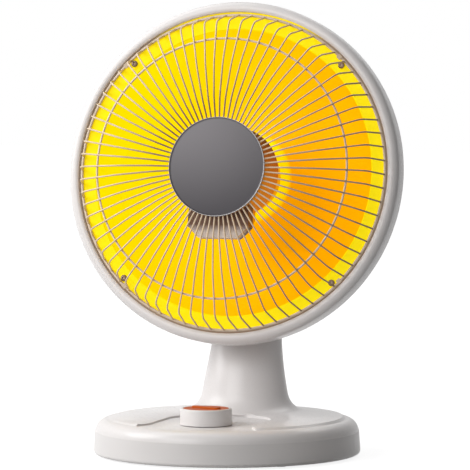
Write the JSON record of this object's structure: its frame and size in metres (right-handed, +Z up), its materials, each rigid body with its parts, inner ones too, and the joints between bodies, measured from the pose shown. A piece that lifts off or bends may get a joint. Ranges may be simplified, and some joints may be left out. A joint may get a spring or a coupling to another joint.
{
  "type": "parabolic heater",
  "caption": "Free-standing dish heater: gold reflector behind a domed radial wire guard, tilting on a necked round base with a rotary knob.",
  "frame": {"origin": "on the floor, at the centre of the round base", "axes": "+Z up, the dish and knob face -Y, +X is the tilt axis"},
  "size_m": [0.3, 0.232, 0.393],
  "materials": {
    "white_plastic": "satin white moulding",
    "grey_plastic": "satin off-white moulding",
    "black_plastic": "moulded switch plastic",
    "orange_plastic": "satin orange moulding",
    "rubber_grey": "soft feet",
    "painted_steel": "white stove enamel on wire and ring",
    "plain_steel": "zinc plated",
    "dark_steel": "black screw finish",
    "gold_reflector": "gold anodised, bright",
    "disc_metal": "satin grey disc",
    "steatite": "light grey fired ceramic",
    "emitter": "brown fired ceramic",
    "brass_pin": "turned brass"
  },
  "bodies": {
    "base": {"base_tray": "grey_plastic", "base_cover": "white_plastic", "rubber_feet": "rubber_grey", "base_screws": "plain_steel", "ballast_plate": "plain_steel", "tip_switch": "black_plastic", "cord_gland": "black_plastic", "terminal_block": "black_plastic", "rotary_switch": "black_plastic", "switch_nut": "plain_steel", "pivot_bolt": "plain_steel", "pivot_nut": "plain_steel", "pivot_caps": "white_plastic", "friction_washers": "black_plastic"},
    "knob": {"knob": "white_plastic", "knob_insert": "orange_plastic", "switch_shaft": "brass_pin"},
    "plunger": {"tip_plunger": "black_plastic"},
    "head": {"rear_housing": "white_plastic", "trim_ring": "white_plastic", "reflector": "gold_reflector", "reflector_screws": "dark_steel", "guard_clips": "painted_steel", "guard_wires": "painted_steel", "guard_rim_ring": "painted_steel", "guard_mid_ring": "painted_steel", "badge_disc": "disc_metal", "badge_backing": "plain_steel", "badge_stud": "plain_steel", "ceramic_holder": "steatite", "ceramic_emitter": "emitter", "heat_shield": "dark_steel", "mounting_plate": "plain_steel", "element_stud": "plain_steel", "element_nut": "plain_steel", "thermal_cutout": "black_plastic"}
  },
  "joints": [
    {"name": "head_tilt", "type": "hinge", "parent": "base", "child": "head", "pos_m": [0, 0.07, 0.142], "axis": [-1, 0, 0], "range_deg": [-6, 20]},
    {"name": "knob_turn", "type": "hinge", "parent": "base", "child": "knob", "pos_m": [0, -0.059, 0.032], "axis": [0, 0, -1], "range_deg": [0, 150]},
    {"name": "tip_slide", "type": "slide", "parent": "base", "child": "plunger", "axis": [0, 0, 1], "range_m": [-0.005, 0], "stiffness_N_per_m": 120, "springref_m": -0.008}
  ]
}
